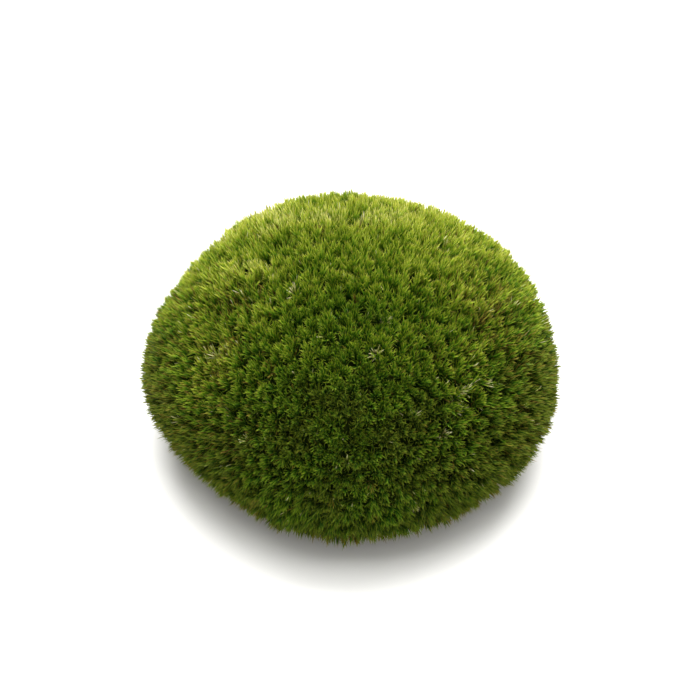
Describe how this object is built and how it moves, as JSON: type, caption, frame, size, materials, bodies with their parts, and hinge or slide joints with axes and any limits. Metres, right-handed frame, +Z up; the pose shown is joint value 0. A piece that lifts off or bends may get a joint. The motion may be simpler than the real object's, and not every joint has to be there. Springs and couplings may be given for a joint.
{
  "type": "cushion moss",
  "caption": "Dome-shaped bun of cushion moss: packed upright green shoots with pointed leaf tips all over, on a flat-lying brown mat of dead stems and root felt.",
  "frame": {"origin": "middle of the bun's outline, on the surface that it rests on", "axes": "+X along the longer side of the bun, +Z up through the top of the dome; -Y is the side towards the picture's camera"},
  "size_m": [0.141, 0.137, 0.08],
  "materials": {
    "moss_green": "matte, soft living leaves, yellow-green at the tips and dark green between the shoots",
    "moss_brown": "matte, fibrous dead stems and root felt"
  },
  "bodies": {
    "root": {"green_shoots": "moss_green", "brown_mat": "moss_brown"}
  },
  "joints": []
}
